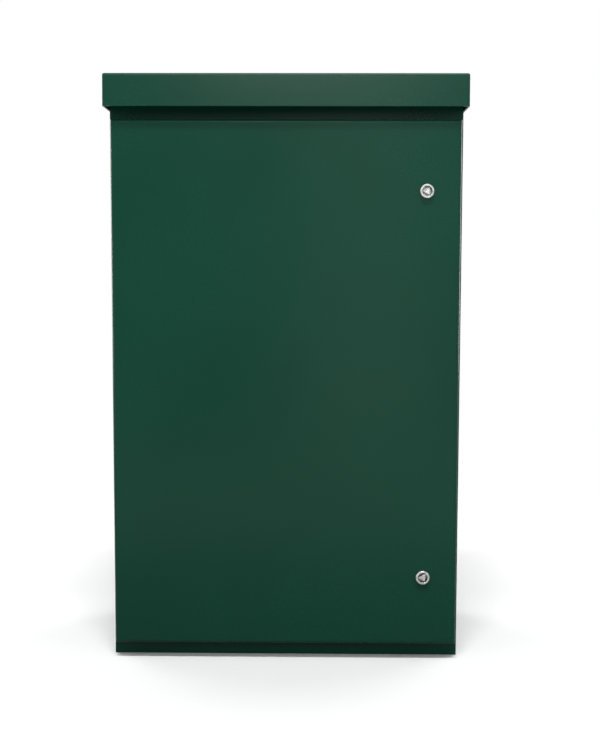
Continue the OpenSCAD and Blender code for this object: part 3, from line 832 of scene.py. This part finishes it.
class CABINET_OT_seals(bpy.types.Operator):
    """Model the foam seals of the door, the roof, the gland plate and the locks"""

    bl_idname = "cabinet.seals"
    bl_label = "Seals"

    def execute(self, context):
        self.door_seal(context.scene.cabinet_seal)
        self.roof_seal(context.scene.cabinet_seal)
        self.gland_seal(context.scene.cabinet_seal)
        self.lock_seals(context.scene.cabinet_fastener)
        return {"FINISHED"}

    def door_seal(self, sizes):
        low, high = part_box("door_gasket")
        size = high - low
        corner = 1.25 * SEAL_STRIP
        groove_slope = 0.8 * MM
        level = 0.99
        top = size.y - DOUBLED
        seal = ring_strip(size.x, size.z, SEAL_STRIP, size.y, corner, sizes.edge)
        with editing(seal):
            pick(seal, "FACE", lambda face: face.normal.z > level and face.calc_center_median().z > top)
            bpy.ops.mesh.inset(thickness=sizes.groove_margin - sizes.edge, use_boundary=True)
            bpy.ops.mesh.inset(thickness=groove_slope, depth=-sizes.groove, use_boundary=True)
        place_along(seal, ((low.x + high.x) / 2, low.y, (low.z + high.z) / 2), INWARDS)
        carried(seal, "door_seal", "door", "foam_rubber", ["door_gasket"])

    def roof_seal(self, sizes):
        low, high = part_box("roof_gasket")
        axis = roof_axis()
        thick = 6.0 * MM
        corner = 3.5 * MM
        length = (high.y - low.y - thick * axis.y) / axis.z
        seal = ring_strip(high.x - low.x, length, SEAL_STRIP, thick, corner, sizes.edge)
        middle = (low + high) / 2
        place_along(seal, middle - axis * (thick / 2), axis)
        carried(seal, "roof_seal", "cabinet", "foam_rubber", ["roof_gasket"])

    def gland_seal(self, sizes):
        low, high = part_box("gland_gasket")
        size = high - low
        strip = 5.0 * MM
        corner = 13.0 * MM
        seal = ring_strip(size.x, size.y, strip, size.z, corner, sizes.edge / 2)
        place_along(seal, (0.0, 0.0, low.z), UP)
        carried(seal, "gland_seal", "cabinet", "foam_rubber", ["gland_gasket"])

    def lock_seals(self, sizes):
        low, high = loose_boxes("lock_gaskets")[0]
        outer = (high.x - low.x) / 2
        thick = high.y - low.y
        bulge = thick * 0.3
        inner = 10.3 * MM
        ring = turned([(inner, 0.0), (outer - bulge, 0.0), (outer, thick * 0.35), (outer, thick * 0.65),
                       (outer - bulge, thick), (inner, thick)], sizes.round_steps)
        set_of("lock_gaskets", "lock_seals", ring, INWARDS)


# Fasteners and locks

class CABINET_OT_fasteners(bpy.types.Operator):
    """Model the threaded studs, the bolts and the chamfered nuts"""

    bl_idname = "cabinet.fasteners"
    bl_label = "Fasteners"

    def execute(self, context):
        sizes = context.scene.cabinet_fastener
        small = (3.0 * MM, sizes.m6_pitch)
        large = (4.0 * MM, sizes.m8_pitch)
        small_corner = 5.77 * MM
        large_corner = 7.5 * MM
        small_head = (small_corner, 4.0 * MM)
        large_head = (large_corner, 5.5 * MM)
        tilted = roof_axis()
        self.studs("gland_studs", "gland_stud_set", small, UP)
        self.studs("earth_stud", "earth_stud_rod", large, UP)
        self.studs("door_earth_stud", "door_earth_stud_rod", small, INWARDS)
        self.nuts("gland_nuts", "gland_nut_set", small, small_corner, UP)
        self.nuts("earth_nuts", "earth_nut_pair", large, large_corner, UP)
        self.nuts("door_earth_nuts", "door_earth_nut_pair", small, small_corner, INWARDS)
        self.nuts("roof_weld_nuts", "roof_nut_set", small, small_corner, tilted)
        self.nuts("board_nuts", "board_nut_set", large, large_corner, INWARDS)
        self.bolts("roof_bolts", "roof_bolt_set", small, small_head, tilted)
        self.bolts("board_bolts", "board_bolt_set", large, large_head, INWARDS)
        for level in LEVELS:
            self.bolts(f"{level}_cam_bolt", f"{level}_cam_screw", small, small_head, OUTWARDS)
        return {"FINISHED"}

    def studs(self, node, name, thread, axis):
        set_of(node, name, threaded_rod(*thread, 0.0, span(node, axis)), axis)

    def nuts(self, node, name, thread, corner, axis):
        clearance = 0.05 * MM
        bore = thread[0] + clearance
        set_of(node, name, hexagon(corner, span(node, axis), bore), axis)

    def bolts(self, node, name, thread, head, axis):
        length = span(node, axis) - head[1]
        set_of(node, name, hex_bolt(*head, *thread, length), axis)


class CABINET_OT_locks(bpy.types.Operator):
    """Model the two lock housings with their rounded heads and threaded barrels, and their nuts"""

    bl_idname = "cabinet.locks"
    bl_label = "Locks"

    def execute(self, context):
        nut_corner = 13.86 * MM
        nut_bore = 10.05 * MM
        for level in LEVELS:
            node = f"{level}_lock_housing"
            low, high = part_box(node)
            centre = (low + high) / 2
            face = (centre.x, low.y, centre.z)
            plate = lock_plate(context.scene.cabinet_finish, f"{level}_lock_plate", face)
            housing = self.housing(context.scene.cabinet_fastener, high.y - low.y)
            place_along(housing, face, INWARDS)
            carried(housing, f"{level}_lock_case", "door", "zinc_plate", [node], plate)
            spindle = frame["nodes"][f"{level}_lock_spindle"]
            spindle.data.materials.clear()
            spindle.data.materials.append(plate)
            nut = f"{level}_lock_nut"
            ring = hexagon(nut_corner, span(nut, INWARDS), nut_bore)
            set_of(nut, f"{level}_lock_ring_nut", ring, INWARDS)
        return {"FINISHED"}

    def housing(self, sizes, length):
        """Head, recess and barrel along Z, with the face of the head on z = 0."""
        head_r, head_t, edge = 12.0 * MM, 5.0 * MM, 1.5 * MM
        recess_r, recess_d, lip = 8.3 * MM, 13.0 * MM, 0.5 * MM
        bore, barrel, flat = 6.05 * MM, 10.0 * MM, 9.4 * MM
        back_edge, thread_gap, arc_steps = 0.2 * MM, 1.0 * MM, 5
        depth = sizes.barrel_pitch * sizes.thread_share
        root = barrel - depth
        outline = [(bore, length), (bore, recess_d), (recess_r, recess_d), (recess_r, lip),
                   (recess_r + lip, 0.0)]
        for step in range(arc_steps + 1):
            angle = math.pi / 2 * step / arc_steps
            outline.append((head_r - edge + edge * math.sin(angle), edge - edge * math.cos(angle)))
        outline += [(head_r, head_t - back_edge), (head_r - back_edge, head_t), (root, head_t),
                    (root, length - lip), (root - lip, length)]
        case = turned(outline, sizes.round_steps)
        ridge = thread_ridge(barrel, sizes.barrel_pitch, depth, head_t + thread_gap, length - lip,
                             sizes.round_steps)
        with editing(ridge):
            for side in (1, -1):
                pick_all()
                bpy.ops.mesh.bisect(plane_co=(0, side * flat, 0), plane_no=(0, side, 0), use_fill=True,
                                    clear_outer=True)
        return joined([case, tidied(ridge)])


# Welds

def bead(start, end, outward):
    """A row of overlapping ripples from one point to another, standing out of a face."""
    sizes = bpy.context.scene.cabinet_weld
    start = Vector(start)
    run = Vector(end) - start
    count = max(2, int(run.length / sizes.ripple))
    put_down()
    bpy.ops.mesh.primitive_uv_sphere_add(segments=10, ring_count=6, radius=1.0)
    piece = bpy.context.object
    overlap = 1.15
    sunk = 0.35 * sizes.bead_height
    piece.scale = (sizes.ripple * overlap, sizes.bead_width / 2, sizes.bead_height)
    settle(piece)
    with editing(piece):
        pick_all()
        bpy.ops.mesh.bisect(plane_co=(0, 0, -sunk), plane_no=(0, 0, 1), use_fill=True, clear_inner=True)
    step = run.length / (count - 1)
    applied(piece, "ARRAY", count=count, use_relative_offset=False, use_constant_offset=True,
            constant_offset_displace=(step, 0, 0))
    along = run.normalized()
    normal = Vector(outward).normalized()
    across = normal.cross(along)
    turn = Matrix((along, across, normal)).transposed().to_4x4()
    piece.matrix_world = Matrix.Translation(start) @ turn
    return tidied(settle(piece))


def stitches(start, end, outward, count):
    """Short beads spread evenly along a seam."""
    sizes = bpy.context.scene.cabinet_weld
    start = Vector(start)
    run = Vector(end) - start
    along = run.normalized()
    beads = []
    for index in range(count):
        middle = start + run * ((index + 0.5) / count)
        half = along * (sizes.stitch / 2)
        beads.append(bead(middle - half, middle + half, outward))
    return beads


class CABINET_OT_welds(bpy.types.Operator):
    """Model the weld beads of the frame, the hinges, the rails and the base, and the door's spot welds"""

    bl_idname = "cabinet.welds"
    bl_label = "Welds"

    def execute(self, context):
        self.frame_welds()
        self.hinge_welds()
        self.tray_welds()
        self.rail_welds()
        self.roof_welds()
        self.spot_welds(context.scene.cabinet_weld)
        return {"FINISHED"}

    def frame_welds(self):
        jamb_low, jamb_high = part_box("right_jamb")
        margin = 2.0 * MM
        lip_x = jamb_low.x + SHEET
        face_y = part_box("body_wrap")[0].y
        beads = []
        for side in (-1, 1):
            for z in (jamb_low.z, jamb_high.z):
                start = (side * (lip_x + margin), face_y, z)
                end = (side * (jamb_high.x - margin), face_y, z)
                beads.append(bead(start, end, OUTWARDS))
        carried(joined(beads), "frame_welds", "cabinet", "green_powder_coat")

    def hinge_welds(self):
        frame_inset, frame_start = 0.8 * MM, 6.0 * MM
        door_inset, door_start, door_end = 1.2 * MM, 1.0 * MM, 7.0 * MM
        frame_beads = []
        door_beads = []
        for level in LEVELS:
            low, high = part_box(f"{level}_hinge_frame_leaf")
            x = high.x - SHEET + frame_inset
            for z, lift in ((low.z, -1), (high.z, 1)):
                frame_beads.append(bead((x, low.y + frame_start, z), (x, high.y, z), (0, 0, lift)))
            low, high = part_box(f"{level}_hinge_door_leaf")
            x = low.x + door_inset
            for z, lift in ((low.z, -1), (high.z, 1)):
                door_beads.append(bead((x, low.y + door_start, z), (x, low.y + door_end, z), (0, 0, lift)))
        carried(joined(frame_beads), "hinge_frame_welds", "cabinet", "green_powder_coat")
        carried(joined(door_beads), "hinge_door_welds", "door", "green_powder_coat")

    def tray_welds(self):
        low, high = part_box("base_tray")
        margin = 30.0 * MM
        side_count, back_count = 3, 5
        beads = []
        for side in (-1, 1):
            x = side * high.x
            beads += stitches((x, low.y + margin, high.z), (x, high.y - margin, high.z), (-side, 0, 1),
                              side_count)
        beads += stitches((low.x + margin, high.y, high.z), (high.x - margin, high.y, high.z), (0, -1, 1),
                          back_count)
        carried(joined(beads), "tray_welds", "cabinet", "galvanised_steel")

    def rail_welds(self):
        margin, inset, count = 20.0 * MM, 0.8 * MM, 5
        beads = []
        for level in LEVELS:
            low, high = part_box(f"{level}_board_rail")
            y = high.y - inset
            for z, lift in ((low.z, -1), (high.z, 1)):
                beads += stitches((low.x + margin, y, z), (high.x - margin, y, z), (0, -1, lift), count)
        carried(joined(beads), "rail_welds", "cabinet", "galvanised_steel")

    def roof_welds(self):
        low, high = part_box("roof_frame")
        margin, count = 30.0 * MM, 5
        start = (low.x + margin, high.y, low.z)
        end = (high.x - margin, high.y, low.z)
        beads = stitches(start, end, (0, -1, -1), count)
        carried(joined(beads), "roof_frame_welds", "cabinet", "green_powder_coat")

    def spot_welds(self, sizes):
        """Shallow dimples along both feet of the door's stiffener."""
        low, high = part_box("door_stiffener")
        radius = sizes.spot_radius
        face_y = low.y + SHEET
        buried, floor, ring, rim = -0.4 * MM, 0.04 * MM, 0.32 * MM, 0.06 * MM
        foot_inset, end_margin, steps = 7.5 * MM, 20.0 * MM, 20
        model = turned([(0.0, buried), (0.0, floor), (radius * 0.62, floor), (radius * 0.8, ring),
                        (radius, rim), (radius * 1.02, buried)], steps)
        run = high.z - low.z - 2 * end_margin
        count = int(run / sizes.spot_pitch)
        copies = []
        for side in (-1, 1):
            x = side * (high.x - foot_inset)
            for index in range(count + 1):
                z = low.z + end_margin + index * run / count
                copies.append(place_along(copied(model), (x, face_y, z), INWARDS))
        bpy.data.objects.remove(model)
        carried(joined(copies), "stiffener_spot_welds", "door", "green_powder_coat")


# Stage

def floor_finish(stage):
    """Pale floor that keeps the shadow, and fades into the white background away from the cabinet."""
    finish = Finish(bpy.data.materials.new("studio_floor"))
    seen = finish.seen()
    x, y, _ = finish.axes(finish.place())
    fade_start, fade_end = 0.55, 1.7
    away = finish.stepped((x * x + y * y).root(), fade_start, fade_end)
    colour = finish.blend(seen, stage.floor_bounce, stage.floor)
    near = finish.add("ShaderNodeBsdfDiffuse", sockets={"Color": colour})
    far = finish.add("ShaderNodeEmission", sockets={"Color": WHITE, "Strength": 1.0})
    shader = finish.add("ShaderNodeMixShader", sockets={0: seen * away, 1: near, 2: far})
    return finish.add("ShaderNodeOutputMaterial", sockets={"Surface": shader})


def studio_world(stage):
    """White where it is seen, directly or in metal, and a soft dome as light."""
    world = bpy.context.scene.world or bpy.data.worlds.new("studio")
    bpy.context.scene.world = world
    finish = Finish(world)
    _, _, height = finish.axes(finish.add("ShaderNodeTexCoord", out="Generated"))
    full_height = 0.75
    strength = finish.stepped(height, 0.0, full_height) * stage.dome
    dome = finish.add("ShaderNodeBackground", sockets={"Color": WHITE, "Strength": strength})
    white = finish.add("ShaderNodeBackground", sockets={"Color": WHITE, "Strength": 1.0})
    shader = finish.add("ShaderNodeMixShader", sockets={0: finish.seen(), 1: dome, 2: white})
    finish.add("ShaderNodeOutputWorld", sockets={"Surface": shader})


def soft_lamp(name, spot, aim, size, power):
    """A white area lamp that points at a place."""
    put_down()
    bpy.ops.object.light_add(type="AREA", location=spot)
    lamp = bpy.context.object
    lamp.name = name
    lamp.data.shape = "RECTANGLE"
    lamp.data.size, lamp.data.size_y = size
    lamp.data.energy = power
    lamp.rotation_euler = (Vector(aim) - Vector(spot)).to_track_quat("-Z", "Y").to_euler()
    lamp.visible_camera = False
    return lamp


class CABINET_OT_stage(bpy.types.Operator):
    """Set up the floor, the background, the lamps and the camera"""

    bl_idname = "cabinet.stage"
    bl_label = "Stage"

    def execute(self, context):
        stage = context.scene.cabinet_stage
        context.scene.view_settings.view_transform = "Standard"
        self.floor(stage)
        studio_world(stage)
        door = (0.0, -0.17, 0.5)
        foot = (0.0, -0.17, 0.12)
        back = (0.0, 0.05, 0.5)
        soft_lamp("key_lamp", (0.0, -3.4, 8.0), door, (3.0, 0.8), stage.key_power)
        for name, side in (("left", -1), ("right", 1)):
            soft_lamp(f"{name}_back_lamp", (side * 3.0, 2.2, 1.0), back, (2.4, 1.6), stage.back_power)
            soft_lamp(f"{name}_fill_lamp", (side * 3.0, -2.6, 1.4), door, (1.6, 1.6), stage.fill_power)
            soft_lamp(f"{name}_low_lamp", (side * 1.1, -0.75, 0.45), foot, (0.5, 0.5), stage.low_power)
        soft_lamp("sheen_lamp", (0.27, -2.6, 0.62), (0.27, 0.0, 0.62), (0.55, 1.35), stage.sheen_power)
        soft_lamp("ground_lamp", (-0.1, -1.5, 0.04), (-0.1, -1.5, 4.0), (2.0, 1.4), stage.ground_power)
        sky = soft_lamp("sky_lamp", (0.05, -2.6, 1.85), (0.05, 0.0, 0.95), (0.9, 0.5), stage.sky_power)
        sky.data.spread = math.radians(50.0)
        self.camera(context.scene, stage)
        return {"FINISHED"}

    def floor(self, stage):
        put_down()
        floor_size, floor_drop = 24.0, 0.5 * MM
        bpy.ops.mesh.primitive_plane_add(size=floor_size, location=(0, 0, -floor_drop))
        floor = settle(bpy.context.object)
        with editing(floor):
            pick_all()
            bpy.ops.mesh.subdivide(number_cuts=3)
        floor.name = "studio_floor"
        floor.data.materials.append(floor_finish(stage))

    def camera(self, scene, stage):
        put_down()
        bpy.ops.object.camera_add(location=stage.eye)
        camera = bpy.context.object
        camera.name = "photo_camera"
        camera.data.sensor_width = 36.0
        camera.data.lens = stage.focal_pixels / IMAGE_LONG_SIDE * camera.data.sensor_width
        camera.data.clip_end = 100.0
        turn = Matrix.Rotation(stage.look_left, 3, "Z")
        tilt = Matrix.Rotation(math.pi / 2 - stage.look_down, 3, "X")
        camera.rotation_euler = (turn @ tilt @ Matrix.Rotation(stage.roll, 3, "Z")).to_euler()
        scene.camera = camera


# Panel and registration

class CABINET_PT_panel(bpy.types.Panel):
    """Steps and sizes of the cabinet's dress"""

    bl_idname = "CABINET_PT_panel"
    bl_label = "Roadside Cabinet"
    bl_space_type = "VIEW_3D"
    bl_region_type = "UI"
    bl_category = "Cabinet"

    def draw(self, context):
        layout = self.layout
        for step in STEPS:
            layout.operator(step.bl_idname)
        for name in SETTINGS:
            box = layout.box()
            box.label(text=name.title())
            group = getattr(context.scene, f"cabinet_{name}")
            for key in group.__annotations__:
                box.prop(group, key)


SETTINGS = {
    "finish": FinishSettings,
    "seal": SealSettings,
    "fastener": FastenerSettings,
    "weld": WeldSettings,
    "stage": StageSettings,
}
STEPS = (CABINET_OT_finishes, CABINET_OT_seals, CABINET_OT_fasteners, CABINET_OT_locks, CABINET_OT_welds,
         CABINET_OT_stage)


def register():
    for name, settings in SETTINGS.items():
        bpy.utils.register_class(settings)
        setattr(bpy.types.Scene, f"cabinet_{name}", PointerProperty(type=settings))
    for step in STEPS:
        bpy.utils.register_class(step)
    bpy.utils.register_class(CABINET_PT_panel)


def unregister():
    bpy.utils.unregister_class(CABINET_PT_panel)
    for step in reversed(STEPS):
        bpy.utils.unregister_class(step)
    for name, settings in SETTINGS.items():
        delattr(bpy.types.Scene, f"cabinet_{name}")
        bpy.utils.unregister_class(settings)


def main():
    register()
    bpy.ops.cabinet.finishes()
    bpy.ops.cabinet.seals()
    bpy.ops.cabinet.fasteners()
    bpy.ops.cabinet.locks()
    bpy.ops.cabinet.welds()
    bpy.ops.cabinet.stage()
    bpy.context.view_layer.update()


if __name__ == "__main__":
    main()
